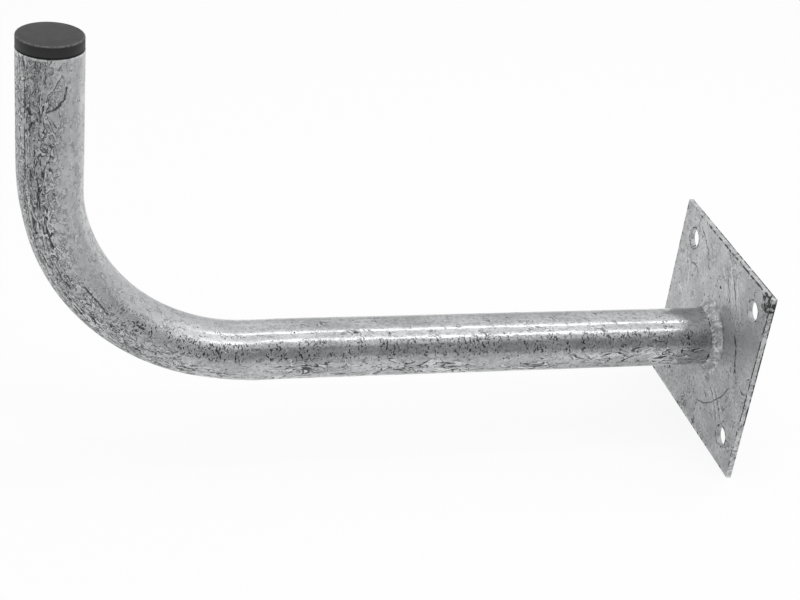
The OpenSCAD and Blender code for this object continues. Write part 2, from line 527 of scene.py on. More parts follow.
# The coat's lumps stand out of the drawn wall, which is a little thinner than the solid's for that reason.
TUBE_RADIUS, BORE_RADIUS = 20.85 * MM, 19 * MM
BEND_RADIUS = 130 * MM
UPRIGHT_X = TUBE_LOW.x + SOLID_RADIUS
BEND_START = PLATE_FACE - (UPRIGHT_X + BEND_RADIUS)
BEND_LENGTH = BEND_RADIUS * QUARTER_TURN
UPRIGHT_LENGTH = TUBE_HIGH.z - BEND_RADIUS
TUBE_LENGTH = BEND_START + BEND_LENGTH + UPRIGHT_LENGTH
print("straight tube:", round(TUBE_LENGTH / MM, 1), "mm")

# %% Tube zinc: rough and smooth sides
STRAIGHT = "straight"
GRAIN_ALONG = 2.2
# Ways are in degrees round the tube: 0 is the outside of the bend and 90 the front. The pairs are from and
# to: how far a point faces that way, or how far along the straight tube it is in metres, and then how much
# of the mark it gets.
ROUGH_WAY, ROUGH_FACING, CRACKLE_COVER = 35, (0.15, 0.85), (0.48, 0.71)
ARM_END, ARM_CRACKLE = (0.34, 0.43), (0.38, 1.0)
WORM_WAY, WORM_FACING, WORM_COVER = 74, (0.82, 0.96), (0.14, 0.58)
SMOOTH_FACING, SMOOTH_STRENGTH = (0.80, 0.15), 0.36
PAST_ARM = 0.30, 0.42


def facing(tree, y, z, degrees):
    """How far a point round the straight tube faces one way, from -1 to 1."""
    angle = math.radians(degrees)
    outward = add(tree, "Math", z, -math.cos(angle) / TUBE_RADIUS, **TIMES)
    return add(tree, "Math", y, -math.sin(angle) / TUBE_RADIUS, outward, operation="MULTIPLY_ADD")


tube_zinc, tree = new_material("hot_dip_zinc_on_tube")
straight = add(tree, "Attribute", attribute_name=STRAIGHT).outputs["Vector"]
along_tube, tube_y, tube_z = add(tree, "SeparateXYZ", straight).outputs
past_arm = add(tree, "MapRange", along_tube, *PAST_ARM, **SMOOTH)
rough_facing = facing(tree, tube_y, tube_z, ROUGH_WAY)
rough_side = add(tree, "MapRange", rough_facing, *ROUGH_FACING, *CRACKLE_COVER, **SMOOTH)
less_on_arm = add(tree, "MapRange", along_tube, *ARM_END, *ARM_CRACKLE, **SMOOTH)
crackle = add(tree, "Math", rough_side, less_on_arm, **TIMES)
worms = add(tree, "MapRange", facing(tree, tube_y, tube_z, WORM_WAY), *WORM_FACING, *WORM_COVER, **SMOOTH)
colour, dull, height = zinc_coat(tree, straight, GRAIN_ALONG, crackle, worms)
smooth_side = add(tree, "MapRange", rough_facing, *SMOOTH_FACING, 0.0, SMOOTH_STRENGTH, **SMOOTH)
colour = laid_over(tree, colour, smooth_side, past_arm, ZINC_RIM)
print("the bend starts", round(BEND_START / MM, 1), "mm from the plate")

# %% [markdown]
# ## Runs and scratches on the tube
# The zinc ran off lengthwise. It left streaks on the outside of the bend and the upright, and a few chains
# of dross that follow the whole tube; the one along the bend's outline, as the camera sees it, is partly
# painted shade. The scratches are placed on the tube's skin as if it was unrolled: how far along it, and
# how far round it.

# %% Tube zinc: streaks and chains
# A shake: the size of its noise, and how far it moves a place.
WANDER = 7 * MM, 1.2 * MM
STREAK_SIZE, STREAK_EDGE = 1.5 * MM, (0.54, 0.60)
STREAK_WAY, STREAK_FACING, STREAK_COVER = 42, (0.45, 0.92), 0.54
BREAK_SIZE = 3 * MM
# Chains of dross: degrees round the tube, half the width in radii, and how much of it is there past the arm.
# The chain at 42 degrees is partly painted shade: a dark line along the bend's outline.
CHAINS = (53, 0.024, 0.42), (69, 0.028, 0.36), (42, 0.026, 0.54)
CHAIN_ON_ARM = 0.65

wandering = shaken(tree, straight, *WANDER)
lines = cloud(tree, wandering, STREAK_SIZE, detail=2.0, stretch=(12, 1, 1), shift=(3, 1, 7))
streak_facing = facing(tree, tube_y, tube_z, STREAK_WAY)
outside = add(tree, "MapRange", streak_facing, *STREAK_FACING, 0.0, STREAK_COVER, **SMOOTH)
cover = add(tree, "Math", outside, past_arm, **TIMES)
streak = add(tree, "MapRange", lines, *STREAK_EDGE, **SMOOTH)
broken = torn(tree, straight, BREAK_SIZE, cover, along=1.8, shift=(5, 2, 1))
marks = [add(tree, "Math", streak, broken, **TIMES)]

_, wander_y, wander_z = add(tree, "SeparateXYZ", wandering).outputs
more_past_arm = add(tree, "MapRange", past_arm, 0.0, 1.0, CHAIN_ON_ARM, 1.0)
for degrees, width, density in CHAINS:
    across = facing(tree, wander_y, wander_z, degrees + 90)
    off = add(tree, "Math", across, operation="ABSOLUTE")
    chain = add(tree, "MapRange", off, LINE_CORE * width, width, 1.0, 0.0, **SMOOTH)
    cover = add(tree, "Math", density, more_past_arm, **TIMES)
    broken = torn(tree, straight, BREAK_SIZE, cover, along=2.0, shift=(degrees, 2, 4))
    marks.append(add(tree, "Math", chain, broken, **TIMES))
print(len(marks) - 1, "chains of dross")

# %% Tube zinc: scratches
# Scratches on the unrolled tube: three places in mm, along it and round it, and half the width.
SCRATCHES = (((625, 41.2), (610, 38.6), (604, 29.4), 1.0),
             ((452, 34.5), (466, 35.8), (481, 36.2), 0.8),
             ((424, 41.5), (430, 40.8), (436, 41.2), 0.9))
SWERVE, JITTER = (9 * MM, 2.4 * MM), (2.6 * MM, 0.9 * MM)
BIT_SIZE, BIT_COVER = 2 * MM, 0.80
MARK_STRENGTH, MARK_DEPTH = 0.85, 0.6

to_front, to_outside = (facing(tree, tube_y, tube_z, degrees) for degrees in (90, 0))
turn = add(tree, "Math", to_front, to_outside, operation="ARCTAN2")
unrolled = add(tree, "CombineXYZ", 0.0, along_tube, add(tree, "Math", turn, TUBE_RADIUS, **TIMES))
crooked = shaken(tree, shaken(tree, unrolled, *SWERVE), *JITTER)
in_bits = torn(tree, unrolled, BIT_SIZE, BIT_COVER, shift=(4, 4, 4))
for scratch in SCRATCHES:
    marks.append(add(tree, "Math", arc_line(tree, crooked, *scratch), in_bits, **TIMES))
mark = strongest(tree, marks)
colour = laid_over(tree, colour, mark, MARK_STRENGTH, ZINC_RUN)
height = add(tree, "Math", mark, -MARK_DEPTH, height, operation="MULTIPLY_ADD")
print(len(SCRATCHES), "scratches")

# %% [markdown]
# ## The arm's specks and the cut end
# Along the front of the arm the drawn steel shows through in dark specks, about 1.5 mm across, in clumps
# that reach a little way round the tube. Just below the cut end a broken band is painted bright as a
# highlight, and the groove under the cap is painted dark as shade. The arm ran smoother than the bend, so
# it reflects the lamps as sharper lines.

# %% Tube zinc: specks
SPECK_WAY, SPECK_FACING, SPECKS_END = 116, (0.92, 0.98), (0.42, 0.49)
SPECK_SIZE, SPECK_EDGE = 1.5 * MM, (0.52, 0.58)
CLUMP_SIZE, CLUMP_EDGE, BETWEEN_CLUMPS = 4.5 * MM, (0.44, 0.54), 0.20
SPECK_STRENGTH, SPECK_DEPTH = 0.9, 0.5

front = add(tree, "MapRange", facing(tree, tube_y, tube_z, SPECK_WAY), *SPECK_FACING, **SMOOTH)
on_arm = add(tree, "MapRange", along_tube, *SPECKS_END, 1.0, 0.0, **SMOOTH)
dots = cloud(tree, straight, SPECK_SIZE, detail=2.0, rough=0.5, stretch=(0.8, 1.3, 1.3), shift=(4, 2, 8))
clumps = cloud(tree, straight, CLUMP_SIZE, detail=2.0, rough=0.6, stretch=(1, 4, 4), shift=(1, 5, 2))
speck = add(tree, "MapRange", dots, *SPECK_EDGE, **SMOOTH)
for limit in (add(tree, "MapRange", clumps, *CLUMP_EDGE, BETWEEN_CLUMPS, 1.0, **SMOOTH), front, on_arm):
    speck = add(tree, "Math", speck, limit, **TIMES)
colour = laid_over(tree, colour, speck, SPECK_STRENGTH, DROSS)
height = add(tree, "Math", speck, -SPECK_DEPTH, height, operation="MULTIPLY_ADD")
print("specks of", SPECK_SIZE / MM, "mm")

# %% Tube zinc: cut end and surface
RIM_HIGHLIGHT_FROM, RIM_HIGHLIGHT_TO, RIM_HIGHLIGHT_COVER = TUBE_LENGTH - 2.6 * MM, TUBE_LENGTH - 1.6 * MM, 0.50
GROOVE_FROM, GROOVE_TO, GROOVE_SHADE = TUBE_LENGTH - 0.85 * MM, TUBE_LENGTH - 0.55 * MM, 0.97
SMOOTHER_ARM, TUBE_ROUGHNESS, MARK_ROUGHNESS = (0.35, 0.40), (0.15, 0.34), 0.15
TUBE_RELIEF = 0.22 * MM

# Painted highlight: a broken bright band just below the cut end, where the rounded edge catches the light.
painted_rim_highlight = add(tree, "MapRange", along_tube, RIM_HIGHLIGHT_FROM, RIM_HIGHLIGHT_TO, **SMOOTH)
in_places = torn(tree, straight, BREAK_SIZE, RIM_HIGHLIGHT_COVER, shift=(8, 8, 8))
colour = laid_over(tree, colour, painted_rim_highlight, in_places, ZINC_RIM)
# Painted shade: the groove under the cap is darkened towards dross.
groove = add(tree, "MapRange", along_tube, GROOVE_FROM, GROOVE_TO, **SMOOTH)
colour = laid_over(tree, colour, groove, GROOVE_SHADE, DROSS)
smoother = add(tree, "MapRange", along_tube, *SMOOTHER_ARM, *TUBE_ROUGHNESS, **SMOOTH)
dull = add(tree, "Math", dull, mark, **LARGER)
roughness = add(tree, "Math", dull, MARK_ROUGHNESS, smoother, operation="MULTIPLY_ADD")
zinc_surface(tree, colour, roughness, height, TUBE_RELIEF)

# %% [markdown]
# ## The bent tube
# A real bracket's tube is drawn straight and then bent, and so is this one. A ring is spun along X without
# turning, which lays one ring of faces a step, once for the outside and once, coarser, for the bore. The
# ends are bridged and the cut end is bevelled.

# %% The straight tube
TUBE_SIDES = 136
RING_STEP, BORE_STEP = 1.5 * MM, 12 * MM
CUT_ROUND, CUT_ROUND_STEPS = 0.9 * MM, 4
RING_UPRIGHT = Matrix.Rotation(QUARTER_TURN, 4, "Y")


def once(items):
    """Each item once, in the order in which they come."""
    return list(dict.fromkeys(items))


def edges_of(verts):
    """The edges that meet these vertices."""
    return once(e for v in verts for e in v.link_edges)


def draw_wall(bm, radius, ring_step):
    """Draws a round wall along +X from a ring at 0, and returns the edges of its two rims."""
    ring = bmesh.ops.create_circle(bm, segments=TUBE_SIDES, radius=radius, matrix=RING_UPRIGHT)
    first = edges_of(ring["verts"])
    steps = round(TUBE_LENGTH / ring_step)
    drawn = bmesh.ops.spin(bm, geom=first, cent=(0, 0, 0), axis=(1, 0, 0), dvec=(TUBE_LENGTH / steps, 0, 0),
                           angle=0, steps=steps)
    last = [g for g in drawn["geom_last"] if isinstance(g, bmesh.types.BMEdge)]
    return first, last


bm = bmesh.new()
outer_foot, outer_end = draw_wall(bm, TUBE_RADIUS, RING_STEP)
bore_foot, bore_end = draw_wall(bm, BORE_RADIUS, BORE_STEP)
bmesh.ops.bridge_loops(bm, edges=outer_foot + bore_foot)
bmesh.ops.bridge_loops(bm, edges=outer_end + bore_end)
bmesh.ops.bevel(bm, geom=outer_end, affect="EDGES", offset=CUT_ROUND, segments=CUT_ROUND_STEPS, profile=0.5,
                material=-1)
print("straight tube:", len(bm.faces), "faces")

# %% [markdown]
# ## The coat's relief
# Seen against the light, a dipped tube is never quite even. The coat has slow waves, small lumps and
# drained runs, and just before the bend the bender's die left a hump on the outside and a flat on the
# inside. All this is worked out for a point of the straight tube, from its place along the tube and its
# turn round it.

# %% The coat's relief
# Waves and lumps: height in mm, length along the tube and size round it in metres, and a shift of the noise.
WAVES, LUMPS = (0.085, 0.038, 0.015, 0), (0.045, 0.011, 0.006, 9)
# Runs: degrees round the tube, height in mm, half the width in mm, and a seed for how each one wanders.
DRAINED_RUNS = ((53, 0.22, 1.1, 3.0), (69, 0.12, 1.3, 5.0), (-57, 0.20, 1.1, 8.0), (128, 0.14, 2.6, 11.0),
                (150, 0.12, 2.2, 14.0))
RUN_WANDER, RUN_WANDER_LENGTH = 4, 50 * MM
RUN_STRENGTH, RUN_CHANGE, RUN_CHANGE_LENGTH, RUN_CHANGE_SEED = 0.60, 0.6, 30 * MM, 4
DIE_PLACE, DIE_WIDTH, DIE_HUMP, DIE_FLAT = BEND_START - 8 * MM, 12 * MM, 0.45, 0.35
EVEN_END = 6 * MM


def swell_at(value, centre, width):
    """A soft hump: 1 at its centre, fading out over about a width and a half."""
    return math.exp(-((value - centre) / width) ** 2)


def held(value):
    """A value held between 0 and 1."""
    return min(max(value, 0.0), 1.0)


def uneven(along, y, z, height, length, girth, shift):
    """Noise of a height, drawn to a length along the tube and a girth round it."""
    return height * noise.noise(Vector((along / length + shift, y / girth, z / girth)))


def coat_relief(along, turn):
    """How far the coat stands out, in metres."""
    y, z = TUBE_RADIUS * math.sin(turn), TUBE_RADIUS * math.cos(turn)
    relief = uneven(along, y, z, *WAVES) + uneven(along, y, z, *LUMPS)
    for place, height, width, seed in DRAINED_RUNS:
        wander = RUN_WANDER * noise.noise(Vector((along / RUN_WANDER_LENGTH, seed, 0)))
        change = RUN_CHANGE * noise.noise(Vector((along / RUN_CHANGE_LENGTH, seed, RUN_CHANGE_SEED)))
        run_place = math.radians(place + wander) * TUBE_RADIUS
        relief += height * held(RUN_STRENGTH + change) * swell_at(turn * TUBE_RADIUS, run_place, width * MM)
    outward = math.cos(turn)
    die_mark = DIE_HUMP * max(outward, 0) - DIE_FLAT * max(-outward, 0)
    relief += swell_at(along, DIE_PLACE, DIE_WIDTH) * die_mark
    return MM * relief * held((TUBE_LENGTH - along) / EVEN_END)


print("relief at the bender's mark:", round(coat_relief(DIE_PLACE, 0) / MM, 2), "mm")

# %% [markdown]
# ## The bend
# Every point is carried round the bend, where a real tube flattens a little, more on the outside, where the
# wall is stretched, and swells sideways. The straight places are kept as the attribute that the zinc reads.

# %% The bend
FLATTENED_OUTSIDE, FLATTENED_INSIDE, SWOLLEN = 0.085, 0.03, 0.03
FADE = 38 * MM


def in_bend(along):
    """1 well inside the bend, fading to 0 past its ends."""
    past_start = held((along - BEND_START + FADE / 3) / FADE)
    before_end = held((BEND_START + BEND_LENGTH + FADE / 3 - along) / FADE)
    share = min(past_start, before_end)
    return share * share * (3 - 2 * share)


def bend_point(point):
    """Carries a point of the straight tube to its place on the bent one."""
    along, y, z = point
    radius = math.hypot(y, z)
    turn = math.atan2(-y, -z)
    if radius > (TUBE_RADIUS + BORE_RADIUS) / 2:
        radius += coat_relief(along, turn)
    share = in_bend(along)
    flatten = FLATTENED_OUTSIDE if math.cos(turn) > 0 else FLATTENED_INSIDE
    outward = radius * math.cos(turn) * (1 - flatten * share)
    sideways = -radius * math.sin(turn) * (1 + SWOLLEN * share)
    if along < BEND_START:
        return Vector((PLATE_FACE - along, sideways, -outward))
    if along > BEND_START + BEND_LENGTH:
        return Vector((UPRIGHT_X - outward, sideways, BEND_RADIUS + along - BEND_START - BEND_LENGTH))
    angle = (along - BEND_START) / BEND_RADIUS
    reach = BEND_RADIUS + outward
    return Vector((UPRIGHT_X + BEND_RADIUS - reach * math.sin(angle), sideways,
                   BEND_RADIUS - reach * math.cos(angle)))


straight_places = [v.co.copy() for v in bm.verts]
for vertex in bm.verts:
    vertex.co = bend_point(vertex.co)
bmesh.ops.recalc_face_normals(bm, faces=bm.faces)
tube = finish_piece(bm, "bent_tube_steel", tube_zinc)
attribute = tube.data.attributes.new(STRAIGHT, "FLOAT_VECTOR", "POINT")
attribute.data.foreach_set("vector", [c for place in straight_places for c in place])
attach(tube, "root")
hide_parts("bent_tube")

# %% [markdown]
# ## The plate's coat
# The plate is flat, so its zinc drained over the whole face and froze thin. It is duller than the tube,
# with etched patches of crackle, and painted lighter towards the top, where more light falls on it.
# Slanting light and dark lines and a few pits lie on its front alone.

# %% Plate zinc: lines and pits
ETCHED_SIZE, ETCHED_EDGE, ETCHED_COVER, WORMS_ON_PLATE = 22 * MM, (0.46, 0.62), 0.55, 0.20
TOP_LIGHT_RANGE, TOP_LIGHT_STRENGTH = (-60 * MM, 50 * MM), 0.18
FAINT_SIZE, FAINT_EDGE, FAINT_STRENGTH = 3 * MM, (0.34, 0.50), (0.30, 1.0)
LIGHT_STRENGTH, PIT_CORE = 0.8, 0.5
LINE_SHAKE = 5 * MM, 2.5 * MM
# Pits and thin dark and light lines on the plate's face, in mm: places across and up, and half the width.
PITS = ((-2.4, 42.6, 1.5), (-3.5, 35.1, 0.9), (-15.6, 40.1, 1.2), (6.3, 30.6, 0.9), (19, 24.5, 0.9),
        (55.3, 24.4, 1.0), (-48.2, -33, 1.2), (-57.5, 8.4, 0.9), (22, 52, 0.8), (-30, 33, 0.8),
        (38, -12, 0.9), (12, -61, 0.9))
DARK_LINES = (((-3.3, -54.3), (-31.3, -37.4), (-47.8, -14.3), 0.6),
              ((-36.9, 24.5), (-45.2, 12.1), (-49.9, -0.5), 1.5), ((-43.5, 20), (-47, 8), (-54.5, -4), 0.5),
              ((-7.7, -64.9), (-9.5, -69.0), (-8.9, -73.1), 0.8), ((-60, -4), (-66, -6.5), (-72, -3), 0.6),
              ((44, 66), (30, 58), (22, 42), 0.5), ((52, 30), (40, 36), (33, 28), 0.5),
              ((-22, -31), (-33, -38), (-42, -49), 0.5), ((-27, -28), (-38, -35), (-47, -45), 0.5),
              ((-18, 58), (-27, 47), (-34, 33), 0.6), ((-4, 62), (-13, 51), (-20, 38), 0.5))
LIGHT_LINES = (((-24, -30), (-35, -37), (-44, -47), 0.6), ((-30, -27), (-40, -33), (-49, -43), 0.6),
               ((-20, -34), (-30, -41), (-38, -50), 0.6), ((-22, 62), (-30, 46), (-36, 27), 0.9),
               ((-8, 66), (-18, 52), (-26, 36), 0.8), ((-14, 60), (-24, 48), (-33, 38), 0.7),
               ((-28, 54), (-36, 44), (-41, 33), 0.8), ((2, 58), (-8, 50), (-14, 38), 0.7),
               ((58, 40), (50, 28), (46, 14), 0.8), ((62, 10), (48, 2), (38, -8), 0.7))

plate_zinc, tree = new_material("hot_dip_zinc_on_plate")
on_plate = add(tree, "TexCoord").outputs["Object"]
etching = cloud(tree, on_plate, ETCHED_SIZE, shift=(2, 2, 7))
etched = add(tree, "MapRange", etching, *ETCHED_EDGE, 0.0, ETCHED_COVER, **SMOOTH)
colour, dull, height = zinc_coat(tree, on_plate, 1.0, etched, WORMS_ON_PLATE)
through, _, up_plate = add(tree, "SeparateXYZ", on_plate).outputs
# Painted light: the plate is lighter towards the top, where more light falls on it.
painted_top_light = add(tree, "MapRange", up_plate, *TOP_LIGHT_RANGE, **SMOOTH)
colour = laid_over(tree, colour, painted_top_light, TOP_LIGHT_STRENGTH, ZINC_RIM)
flat = add(tree, "VectorMath", shaken(tree, on_plate, *LINE_SHAKE), (0, 1, 1), **TIMES)
fading = cloud(tree, on_plate, FAINT_SIZE, detail=2.0, rough=0.6, shift=(6, 1, 2))
faint = add(tree, "MapRange", fading, *FAINT_EDGE, *FAINT_STRENGTH, **SMOOTH)
on_front = add(tree, "Math", through, PLATE_FACE / 2, operation="LESS_THAN")
light, dark = ([add(tree, "Math", arc_line(tree, flat, *line), faint, **TIMES) for line in lines]
               for lines in (LIGHT_LINES, DARK_LINES))
light = add(tree, "Math", strongest(tree, light), on_front, **TIMES)
colour = laid_over(tree, colour, light, LIGHT_STRENGTH, ZINC_RIM)
for across, up, radius in PITS:
    away = add(tree, "VectorMath", flat, on_face(across, up), operation="DISTANCE")
    dark.append(add(tree, "MapRange", away, PIT_CORE * radius * MM, radius * MM, 1.0, 0.0, **SMOOTH))
marks = [add(tree, "Math", strongest(tree, dark), on_front, **TIMES)]
print(len(LIGHT_LINES), "light lines,", len(DARK_LINES), "dark lines and", len(PITS), "pits")

# %% [markdown]
# ## The plate's edges, holes and bare corner
# The zinc drew back a little from the sheared edges, which left broken dark lines beside them, strongest
# towards the upper corner on the camera's side. Round the holes a broken dark ring is partly such a line
# and partly painted shade. Flecks on the very edge are painted highlights. In that upper corner the flux
# missed, and the steel stayed dark.

# %% Plate zinc: edges, holes and the bare corner
HALF_SIDE = 74.8 * MM
HOLE_PLACE, HOLE_RADIUS = 53 * MM, 7 * MM
EDGE_SHAKE = 2.5 * MM, 0.9 * MM
EDGE_TEAR, HOLE_TEAR, CORNER_TEAR, EDGE_HIGHLIGHT_TEAR = 4.5 * MM, 4 * MM, 3 * MM, 4 * MM
EDGE_LINE_IN, EDGE_LINE_CORE, EDGE_LINE_WIDTH = 1.3 * MM, 0.5 * MM, 1.0 * MM
BACK_LINE_PLACE, BACK_LINE_REACH, EDGE_SKIN = -0.7 * MM, 0.6 * MM, 0.4 * MM
# Towards the upper corner on the camera's side, as Z less Y in metres.
TO_NEAR_CORNER, EDGE_COVER = (0.0, 0.070), (0.20, 0.72)
HOLE_LINE_OUT, HOLE_LINE_REACH, HOLE_COVER = 1.1 * MM, 0.6 * MM, 0.52
BARE_CORNER, BARE_REACH, BARE_COVER = on_face(-69.0, 68.0), (5 * MM, 10 * MM), (0.74, 0.0)
EDGE_HIGHLIGHT_IN, EDGE_HIGHLIGHT_COVER, EDGE_HIGHLIGHT_STRENGTH = 1.0 * MM, 0.45, 0.6

nudged_x, nudged_y, nudged_z = add(tree, "SeparateXYZ", shaken(tree, on_plate, *EDGE_SHAKE)).outputs
far_y, far_z = (add(tree, "Math", axis, operation="ABSOLUTE") for axis in (nudged_y, nudged_z))
edge = add(tree, "Math", far_y, far_z, **LARGER)
beside = add(tree, "Math", edge, HALF_SIDE - EDGE_LINE_IN, operation="SUBTRACT")
off = add(tree, "Math", beside, operation="ABSOLUTE")
line = add(tree, "MapRange", off, EDGE_LINE_CORE, EDGE_LINE_WIDTH, 1.0, 0.0, **SMOOTH)
by_back = add(tree, "Math", nudged_x, BACK_LINE_PLACE, BACK_LINE_REACH, operation="COMPARE")
on_edge = add(tree, "Math", edge, HALF_SIDE - EDGE_SKIN, operation="GREATER_THAN")
line = add(tree, "Math", line, add(tree, "Math", by_back, on_edge, **TIMES), **LARGER)
to_corner = add(tree, "Math", nudged_z, nudged_y, operation="SUBTRACT")
cover = add(tree, "MapRange", to_corner, *TO_NEAR_CORNER, *EDGE_COVER, **SMOOTH)
ragged = torn(tree, on_plate, EDGE_TEAR, cover, shift=(3, 3, 3))
marks.append(add(tree, "Math", line, ragged, **TIMES))

in_corner = add(tree, "CombineXYZ", 0.0, far_y, far_z)
from_hole = add(tree, "VectorMath", in_corner, Vector((0, HOLE_PLACE, HOLE_PLACE)), operation="DISTANCE")
# Partly painted shade: a broken dark ring round each hole, as well as zinc that drew back there.
hole_ring_and_shade = add(tree, "Math", from_hole, HOLE_RADIUS + HOLE_LINE_OUT, HOLE_LINE_REACH, operation="COMPARE")
ragged = torn(tree, on_plate, HOLE_TEAR, HOLE_COVER, shift=(5, 1, 1))
marks.append(add(tree, "Math", hole_ring_and_shade, ragged, **TIMES))

from_corner = add(tree, "VectorMath", flat, BARE_CORNER, operation="DISTANCE")
bare = add(tree, "MapRange", from_corner, *BARE_REACH, *BARE_COVER, **SMOOTH)
marks.append(torn(tree, on_plate, CORNER_TEAR, bare, shift=(9, 9, 1)))
# Painted highlights: bright flecks on the very edge of the plate.
on_edge = add(tree, "MapRange", edge, HALF_SIDE - EDGE_HIGHLIGHT_IN, HALF_SIDE - EDGE_SKIN)
in_places = torn(tree, on_plate, EDGE_HIGHLIGHT_TEAR, EDGE_HIGHLIGHT_COVER, shift=(7, 1, 6))
painted_edge_highlight = add(tree, "Math", on_edge, in_places, **TIMES)
colour = laid_over(tree, colour, painted_edge_highlight, EDGE_HIGHLIGHT_STRENGTH, ZINC_RIM)
print(len(marks), "kinds of dark marks on the plate")

# %% Plate zinc: surface
PLATE_MARK_STRENGTH, PLATE_MARK_DEPTH = 0.9, 0.8
PLATE_ROUGHNESS, PLATE_MARK_ROUGHNESS = 0.44, 0.12
PLATE_RELIEF = 0.16 * MM

mark = strongest(tree, marks)
colour = laid_over(tree, colour, mark, PLATE_MARK_STRENGTH, DROSS)
height = add(tree, "Math", mark, -PLATE_MARK_DEPTH, height, operation="MULTIPLY_ADD")
dull = add(tree, "Math", dull, mark, **LARGER)
roughness = add(tree, "Math", dull, PLATE_MARK_ROUGHNESS, PLATE_ROUGHNESS, operation="MULTIPLY_ADD")
zinc_surface(tree, colour, roughness, height, PLATE_RELIEF)

# %% [markdown]
# ## The wall plate
# The plate is sheared from 4 mm sheet and drilled. It is laid out in square tiles. A tile round a hole is a
# circle bridged to a square, so that its faces run round the hole. The sheet of tiles is merged, extruded
# to its thickness, and its sharp edges are bevelled.

# %% Plate tiles
HALF_CORNER = HALF_SIDE - HOLE_PLACE
HALF_MIDDLE = HOLE_PLACE - HALF_CORNER
VENT_RADIUS = 6 * MM
CORNER_FACES, MIDDLE_FACES = 30, 42
HOLE_RINGS = 10
MERGE_DISTANCE = 0.02 * MM
FLAT_TO_WALL = Matrix.Rotation(QUARTER_TURN, 4, "Z") @ Matrix.Rotation(QUARTER_TURN, 4, "X")


def lay_tile(bm, place, half_width, half_height, columns, rows, hole_radius=None):
    """One rectangular tile of the sheet, flat on XY, with a round hole in its middle if it has one."""
    grid = bmesh.ops.create_grid(bm, x_segments=columns, y_segments=rows, size=1.0)
    bmesh.ops.scale(bm, vec=(half_width, half_height, 1), verts=grid["verts"])
    bmesh.ops.translate(bm, vec=place, verts=grid["verts"])
    if hole_radius is None:
        return
    faces = once(f for v in grid["verts"] for f in v.link_faces)
    border = [e for e in once(e for f in faces for e in f.edges) if len(e.link_faces) == 1]
    bmesh.ops.delete(bm, geom=faces, context="FACES_KEEP_BOUNDARY")
    turned = Matrix.Translation(place) @ Matrix.Rotation(QUARTER_TURN / 2, 4, "Z")
    circle = bmesh.ops.create_circle(bm, segments=2 * (columns + rows), radius=hole_radius, matrix=turned)
    rim = edges_of(circle["verts"])
    bridged = bmesh.ops.bridge_loops(bm, edges=border + rim)
    kept = set(border + rim)
    spokes = [e for e in once(e for f in bridged["faces"] for e in f.edges) if e not in kept]
    bmesh.ops.subdivide_edges(bm, edges=spokes, cuts=HOLE_RINGS)


bm = bmesh.new()
corner_size, middle_size = (HALF_CORNER, CORNER_FACES), (HALF_MIDDLE, MIDDLE_FACES)
tile_sizes = {-1: corner_size, 0: middle_size, 1: corner_size}
for column, (half_width, columns) in tile_sizes.items():
    for row, (half_height, rows) in tile_sizes.items():
        hole = {0: VENT_RADIUS, 1: None, 2: HOLE_RADIUS}[abs(column) + abs(row)]
        tile_place = (column * HOLE_PLACE, row * HOLE_PLACE, 0)
        lay_tile(bm, tile_place, half_width, half_height, columns, rows, hole)
bmesh.ops.remove_doubles(bm, verts=bm.verts, dist=MERGE_DISTANCE)
print("flat sheet:", len(bm.faces), "faces")

# %% [markdown]
# ## The plate's thickness and relief
# The zinc rounds the plate's edges and hangs in beads below its holes, where the last drops froze. The
# front also has slow waves and small lumps. Its back, which lies on the wall, stays flat.

# %% Plate thickness and relief
PLATE_THICK = -PLATE_FACE
# The front is drawn this far inside the solid's, because its relief stands out of it.
COAT_FACE = 0.1 * MM
SHARP_ANGLE = math.radians(60)
EDGE_ROUND, EDGE_ROUND_STEPS = 0.6 * MM, 3
# Waves, lumps and the beads below the holes: height in mm, size in metres, and the noise's third place.
FACE_WAVES, FACE_LUMPS = (0.07, 0.030, 2), (0.03, 0.008, 5)
BEAD_HEIGHT, BEAD_SIZE, BEAD_SQUASH = 0.4, 3.2 * MM, 1.3

bmesh.ops.transform(bm, matrix=FLAT_TO_WALL, verts=bm.verts)
thick = bmesh.ops.extrude_face_region(bm, geom=bm.faces, use_keep_orig=True)
front_verts = [g for g in thick["geom"] if isinstance(g, bmesh.types.BMVert)]
bmesh.ops.translate(bm, verts=front_verts, vec=(COAT_FACE - PLATE_THICK, 0, 0))
bmesh.ops.recalc_face_normals(bm, faces=bm.faces)
sharp = [e for e in bm.edges if len(e.link_faces) == 2 and e.calc_face_angle() > SHARP_ANGLE]
bmesh.ops.bevel(bm, geom=sharp, affect="EDGES", offset=EDGE_ROUND, segments=EDGE_ROUND_STEPS, profile=0.5,
                material=-1)


def plate_relief(y, z):
    """How far the coat stands out of the plate's face, in millimetres."""
    relief = 0.0
    for height, size, layer in (FACE_WAVES, FACE_LUMPS):
        relief += height * noise.noise(Vector((y / size, z / size, layer)))
    for side in (-1, 1):
        for level in (-1, 1):
            off_y, off_z = y - side * HOLE_PLACE, z - level * HOLE_PLACE + HOLE_RADIUS
            relief += BEAD_HEIGHT * swell_at(math.hypot(off_y, off_z * BEAD_SQUASH), 0, BEAD_SIZE)
    return relief


for vertex in bm.verts:
    if vertex.co.x < -PLATE_THICK / 2:
        vertex.co.x -= MM * plate_relief(vertex.co.y, vertex.co.z)
plate = finish_piece(bm, "wall_plate_steel", plate_zinc)
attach(plate, "root")
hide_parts("wall_plate")

# %% [markdown]
# ## The weld's coat
# The zinc fills the weld's ripples and leaves a bright, lumpy skin with scaly patches between. Slag and
# dross collect in a broken dark line where the weld meets the plate.

